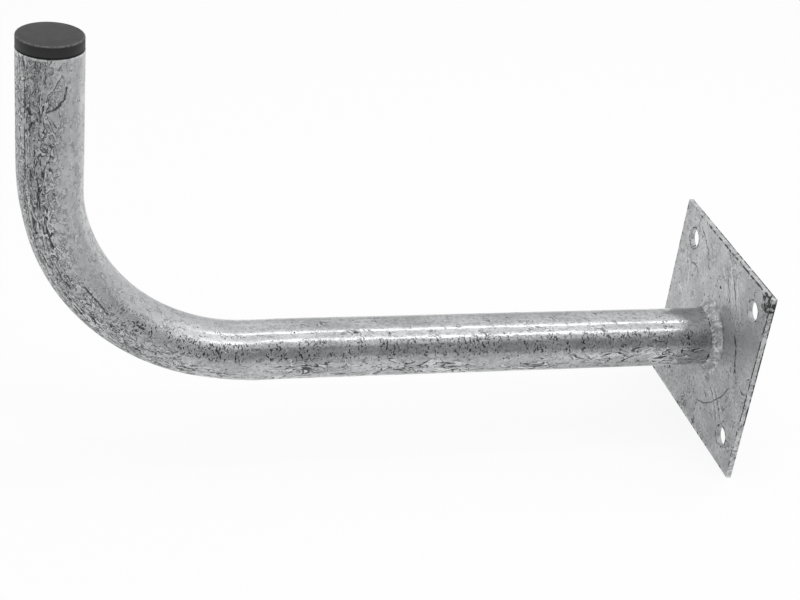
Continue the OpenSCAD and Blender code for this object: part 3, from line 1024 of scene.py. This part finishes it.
# %% Weld zinc
CRACKLE_ON_WELD, WORMS_ON_WELD = 0.08, 0.20
SCALE_SIZE, SCALE_EDGE, SCALE_STRENGTH = 5 * MM, (0.40, 0.60), (0.22, 0.80)
WET_SIZE, WET_EDGE, WET_STRENGTH = 6 * MM, (0.54, 0.62), 0.62
TOE_LINE, TOE_LINE_REACH, TOE_COVER, TOE_STRENGTH = PLATE_FACE - 7.4 * MM, 1.1 * MM, 0.6, 0.9
TOE_SHAKE, TOE_TEAR = (4 * MM, 1.2 * MM), 3 * MM
WELD_ROUGHNESS, WELD_MARK_ROUGHNESS = 0.25, 0.12
WELD_RELIEF = 0.15 * MM

weld_zinc, tree = new_material("hot_dip_zinc_on_weld")
on_weld = add(tree, "TexCoord").outputs["Object"]
colour, dull, height = zinc_coat(tree, on_weld, 1.0, CRACKLE_ON_WELD, WORMS_ON_WELD)
scales = cloud(tree, on_weld, SCALE_SIZE, detail=2.0)
scaled = add(tree, "MapRange", scales, *SCALE_EDGE, *SCALE_STRENGTH, **SMOOTH)
colour = add(tree, "Mix", scaled, colour, ZINC_GRAIN, **COLOURS)
wetting = cloud(tree, on_weld, WET_SIZE, detail=2.0, shift=(4, 1, 2))
wetted = add(tree, "MapRange", wetting, *WET_EDGE, **SMOOTH)
colour = laid_over(tree, colour, wetted, WET_STRENGTH, ZINC_RIM)
from_wall = add(tree, "SeparateXYZ", shaken(tree, on_weld, *TOE_SHAKE)).outputs["X"]
at_toe = add(tree, "Math", from_wall, TOE_LINE, TOE_LINE_REACH, operation="COMPARE")
toe_marks = add(tree, "Math", at_toe, torn(tree, on_weld, TOE_TEAR, TOE_COVER, shift=(2, 5, 5)), **TIMES)
colour = laid_over(tree, colour, toe_marks, TOE_STRENGTH, DROSS)
dull = add(tree, "Math", dull, toe_marks, **LARGER)
roughness = add(tree, "Math", dull, WELD_MARK_ROUGHNESS, WELD_ROUGHNESS, operation="MULTIPLY_ADD")
zinc_surface(tree, colour, roughness, height, WELD_RELIEF)

# %% [markdown]
# ## The weld
# The fillet is laid in one pass all round. Its section is drawn by spinning a single point through three
# arcs, each from where the last one ended: off the tube, over the crown, and out onto the plate. A hidden
# corner closes it behind, and the section is spun once round the tube.

# %% The weld's section
TOE_RADIUS, CROWN_RADIUS = 5 * MM, 12 * MM
# Each arc's turn in degrees, its radius, and its steps.
FACE_ARCS = (52, TOE_RADIUS, 13), (-14, CROWN_RADIUS, 8), (52, TOE_RADIUS, 13)
WELD_LEG = 8 * MM
WELD_SIDES = 288
# The root is sunk a little into the tube and stands a little off the plate, and the corner hides behind it.
WELD_ROOT = Vector((PLATE_FACE + 0.2 * MM, TUBE_RADIUS - 0.15 * MM, 0))
HIDDEN_CORNER = Vector((0.3 * MM, -0.3 * MM, 0))

bm = bmesh.new()
end = bmesh.ops.create_vert(bm, co=WELD_ROOT - Vector((WELD_LEG, 0, 0)))["vert"][0]
corner = bmesh.ops.create_vert(bm, co=WELD_ROOT + HIDDEN_CORNER)["vert"][0]
bm.edges.new((corner, end))
heading = 0.0
for arc_turn, arc_radius, steps in FACE_ARCS:
    to_centre = heading + math.copysign(QUARTER_TURN, arc_turn)
    arc_centre = end.co + arc_radius * Vector((math.cos(to_centre), math.sin(to_centre), 0))
    drawn = bmesh.ops.spin(bm, geom=[end], cent=arc_centre, axis=(0, 0, 1), dvec=(0, 0, 0),
                           angle=math.radians(arc_turn), steps=steps)
    end = next(g for g in drawn["geom_last"] if isinstance(g, bmesh.types.BMVert))
    heading += math.radians(arc_turn)
bm.edges.new((end, corner))
print("weld face ends at x", round(end.co.x / MM, 2), "r", round(end.co.y / MM, 2), "mm")
bmesh.ops.spin(bm, geom=bm.verts[:] + bm.edges[:], cent=(0, 0, 0), axis=(1, 0, 0), dvec=(0, 0, 0),
               angle=FULL_TURN, steps=WELD_SIDES, use_merge=True)
bmesh.ops.recalc_face_normals(bm, faces=bm.faces)
bm.normal_update()

# %% [markdown]
# ## The weld's relief
# The face has soft ripples where each drop of metal froze, bowed like crescents because the middle runs
# ahead. Its width wanders with the welder's hand. Lumps of zinc and a little spatter are pushed in along
# the normals.

# %% The weld's relief
RIPPLE_PITCH, RIPPLE_HEIGHT = 3.2 * MM, 0.19 * MM
RIPPLE_WANDER, RIPPLE_WANDER_SIZE, RIPPLE_SEED = 1.5 * MM, 12 * MM, 8
WIDTH_CHANGE, WIDTH_CHANGE_SIZE, WIDTH_SEED = 0.28, 10 * MM, 3
LUMP_HEIGHT, LUMP_SIZE = 1.2 * MM, 7 * MM
EVEN_TOE, ON_FACE = 1.5 * MM, 0.01 * MM
# Spatter: degrees round the tube, place along X in mm, height in mm, and radius in mm.
SPATTER = ((146, -10.6, 0.9, 1.7), (151, -8.4, 0.7, 1.5), (138, -11.6, 0.6, 1.2), (118, -10.9, 0.6, 1.3),
           (88, -8.0, 0.7, 2.0), (104, -6.4, 0.5, 1.6), (250, -9.5, 0.7, 1.6), (20, -8.8, 0.6, 1.8))


def weld_lump(x, radius, turn, y, z):
    """How far the weld's face stands out, in metres: zinc lumps, ripples and spatter."""
    lump = LUMP_HEIGHT * noise.noise(Vector((x / LUMP_SIZE, y / LUMP_SIZE, z / LUMP_SIZE)))
    crescent = (radius - WELD_ROOT.y - WELD_LEG / 2) ** 2 / WELD_LEG
    wander = noise.noise(Vector((RIPPLE_SEED, y / RIPPLE_WANDER_SIZE, z / RIPPLE_WANDER_SIZE)))
    ripple = (turn * TUBE_RADIUS + crescent + RIPPLE_WANDER * wander) / RIPPLE_PITCH
    lump += RIPPLE_HEIGHT * math.sin(FULL_TURN * ripple)
    for degrees, drop_x, drop_height, drop_radius in SPATTER:
        off_turn = (turn - math.radians(degrees) + math.pi) % FULL_TURN - math.pi
        from_drop = math.hypot(off_turn * radius, x - drop_x * MM)
        lump += MM * drop_height * swell_at(from_drop, 0, drop_radius * MM)
    return lump


for vertex in bm.verts:
    x, y, z = vertex.co
    radius = math.hypot(y, z)
    if radius < WELD_ROOT.y + ON_FACE or x > WELD_ROOT.x:
        continue
    turn = math.atan2(-y, -z)
    change = noise.noise(Vector((WIDTH_SEED, y / WIDTH_CHANGE_SIZE, z / WIDTH_CHANGE_SIZE)))
    width = 1 + WIDTH_CHANGE * change
    out = WELD_ROOT.y + (radius - WELD_ROOT.y) * width
    place = Vector((WELD_ROOT.x + (x - WELD_ROOT.x) * width, 0, 0)) + Vector((0, y, z)) / radius * out
    raised = held((radius - WELD_ROOT.y) / EVEN_TOE) * held((WELD_ROOT.x - x) / EVEN_TOE)
    vertex.co = place + vertex.normal * raised * weld_lump(x, radius, turn, y, z)
weld = finish_piece(bm, "weld_bead_steel", weld_zinc)
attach(weld, "root")
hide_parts("weld_bead")

# %% [markdown]
# ## The cap's plastic
# The cap is moulded in black polyethylene. The mould was spark-eroded, which gives the plastic a fine matt
# grain, drawn here at 0.9 mm because the real one is finer than a pixel. The top is painted paler, as light
# falls on it from above, the rim's edge is painted paler still as a broken highlight, and the side is
# painted dark as shade in the gap above the tube.

# %% Cap plastic
CAP_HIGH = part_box("end_cap")[1]
CAP_SEAT = TUBE_HIGH.z
PLASTIC_DARK, PLASTIC_PALE = linear("#171718"), linear("#202021")
PLASTIC_TOP_LIT, PLASTIC_RIM_HIGHLIGHT, PLASTIC_SHADED = linear("#343435"), linear("#7C7C7D"), linear("#040404")
MOULD_GRAIN, WEAR_SIZE, CAP_RIM_HIGHLIGHT_SIZE = 0.9 * MM, 7 * MM, 1.6 * MM
WEAR_COLOUR, WEAR_ROUGHNESS, PLASTIC_ROUGHNESS = (0.35, 0.7), (0.3, 0.7), (0.52, 0.62)
CAP_RIM_HIGHLIGHT_EDGE, CAP_RIM_HIGHLIGHT_COVER, CAP_RIM_HIGHLIGHT_STRENGTH = (0.40, 0.60), (0.25, 1.0), 0.75
TOP_FROM, TOP_TO = CAP_HIGH.z - 0.7 * MM, CAP_HIGH.z - 0.1 * MM
RIM_FROM, RIM_TO = CAP_HIGH.z - 1.1 * MM, CAP_HIGH.z - 0.5 * MM
RIM_INSIDE, RIM_OUTSIDE = 19.3 * MM, 20.1 * MM
GAP_FROM, GAP_TO = CAP_SEAT + 0.5 * MM, CAP_SEAT + 1.1 * MM
POLYETHYLENE_IOR, GRAIN_BUMP, GRAIN_RELIEF = 1.51, 0.5, 0.08 * MM

cap_plastic, tree = new_material("moulded_polyethylene")
on_cap = add(tree, "TexCoord").outputs["Object"]
grain = cloud(tree, on_cap, MOULD_GRAIN, detail=3.0, rough=0.6)
wear = cloud(tree, on_cap, WEAR_SIZE, detail=4.0, rough=0.6)
worn = add(tree, "MapRange", wear, *WEAR_COLOUR, **SMOOTH)
colour = add(tree, "Mix", worn, PLASTIC_DARK, PLASTIC_PALE, **COLOURS)
up_cap = add(tree, "SeparateXYZ", on_cap).outputs["Z"]
on_top = add(tree, "MapRange", up_cap, TOP_FROM, TOP_TO, **SMOOTH)
# Painted light: the top is paler, as light from above falls on it.
colour = add(tree, "Mix", on_top, colour, PLASTIC_TOP_LIT, **COLOURS)
level = add(tree, "VectorMath", on_cap, (1, 1, 0), **TIMES)
from_axis = add(tree, "VectorMath", level, (UPRIGHT_X, 0, 0), operation="DISTANCE")
outer = add(tree, "MapRange", from_axis, RIM_INSIDE, RIM_OUTSIDE, **SMOOTH)
upper = add(tree, "MapRange", up_cap, RIM_FROM, RIM_TO, **SMOOTH)
on_rim = add(tree, "Math", outer, upper, **TIMES)
# Painted highlight: a broken paler line round the head's top edge.
rim_highlight_noise = cloud(tree, on_cap, CAP_RIM_HIGHLIGHT_SIZE, detail=3.0, rough=0.7)
painted_rim_highlight = add(tree, "MapRange", rim_highlight_noise, *CAP_RIM_HIGHLIGHT_EDGE, *CAP_RIM_HIGHLIGHT_COVER, **SMOOTH)
colour = laid_over(tree, colour, add(tree, "Math", on_rim, painted_rim_highlight, **TIMES), CAP_RIM_HIGHLIGHT_STRENGTH, PLASTIC_RIM_HIGHLIGHT)
# Painted shade: the side darkens to near black in the gap above the tube.
shaded = add(tree, "MapRange", up_cap, GAP_FROM, GAP_TO, 1.0, 0.0, **SMOOTH)
colour = add(tree, "Mix", shaded, colour, PLASTIC_SHADED, **COLOURS)
bump = add(tree, "Bump", named={"Height": grain, "Strength": GRAIN_BUMP, "Distance": GRAIN_RELIEF})
roughness = add(tree, "MapRange", wear, *WEAR_ROUGHNESS, *PLASTIC_ROUGHNESS)
plastic_inputs = {"Base Color": colour, "Roughness": roughness, "IOR": POLYETHYLENE_IOR, "Normal": bump}
add(tree, "OutputMaterial", add(tree, "BsdfPrincipled", named=plastic_inputs))
print("nodes in the plastic:", len(tree.nodes))

# %% [markdown]
# ## The cap
# A low round head covers the tube's cut edge, and a hollow plug with barbs grips the bore. The outline is
# drawn as a half section from the middle of the top, down the outside and back up the hollow. It is spun
# once round, and the head's two edges are rounded.

# %% Cap
HEAD_RADIUS, HEAD_HEIGHT = 20.7 * MM, CAP_HIGH.z - CAP_SEAT
PLUG_RADIUS, PLUG_LENGTH = 18.1 * MM, 20 * MM
HOLLOW_RADIUS, HOLLOW_TOP = 16.1 * MM, 5.5 * MM
BARB_RADIUS, BARB_HEIGHT, BARB_LEVELS = 18.9 * MM, 2 * MM, (5, 10, 15)
CAP_SIDES = 128
CAP_MERGE, SAME_PLACE = 0.005 * MM, 0.01 * MM
TOP_ROUND, TOP_ROUND_STEPS = 1.1 * MM, 6
FOOT_ROUND, FOOT_ROUND_STEPS = 0.6 * MM, 3

barbs = []
for depth in BARB_LEVELS:
    barbs += [(PLUG_RADIUS, -depth * MM), (BARB_RADIUS, -depth * MM),
              (PLUG_RADIUS, -depth * MM - BARB_HEIGHT)]
outline = [(0, HEAD_HEIGHT), (HEAD_RADIUS, HEAD_HEIGHT), (HEAD_RADIUS, 0), (PLUG_RADIUS, 0), *barbs,
           (PLUG_RADIUS, -PLUG_LENGTH), (HOLLOW_RADIUS, -PLUG_LENGTH), (HOLLOW_RADIUS, HOLLOW_TOP),
           (0, HOLLOW_TOP)]
bm = bmesh.new()
corners = [bmesh.ops.create_vert(bm, co=(radius, 0, height))["vert"][0] for radius, height in outline]
for first, second in zip(corners, corners[1:]):
    bm.edges.new((first, second))
bmesh.ops.spin(bm, geom=bm.verts[:] + bm.edges[:], cent=(0, 0, 0), axis=(0, 0, 1), dvec=(0, 0, 0),
               angle=FULL_TURN, steps=CAP_SIDES, use_merge=True)
bmesh.ops.remove_doubles(bm, verts=bm.verts, dist=CAP_MERGE)
bmesh.ops.recalc_face_normals(bm, faces=bm.faces)


def rim_at(bm, radius, height):
    """The edges of the ring at a radius and a height."""
    def on_ring(vert):
        off_radius = math.hypot(vert.co.x, vert.co.y) - radius
        return max(abs(vert.co.z - height), abs(off_radius)) < SAME_PLACE
    return [e for e in bm.edges if all(on_ring(v) for v in e.verts)]


bmesh.ops.bevel(bm, geom=rim_at(bm, HEAD_RADIUS, HEAD_HEIGHT), affect="EDGES", offset=TOP_ROUND,
                segments=TOP_ROUND_STEPS, profile=0.5, material=-1)
bmesh.ops.bevel(bm, geom=rim_at(bm, HEAD_RADIUS, 0), affect="EDGES", offset=FOOT_ROUND,
                segments=FOOT_ROUND_STEPS, profile=0.5, material=-1)
bmesh.ops.translate(bm, verts=bm.verts, vec=(UPRIGHT_X, 0, CAP_SEAT))
cap = finish_piece(bm, "end_cap_moulding", cap_plastic)
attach(cap, "root")
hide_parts("end_cap")
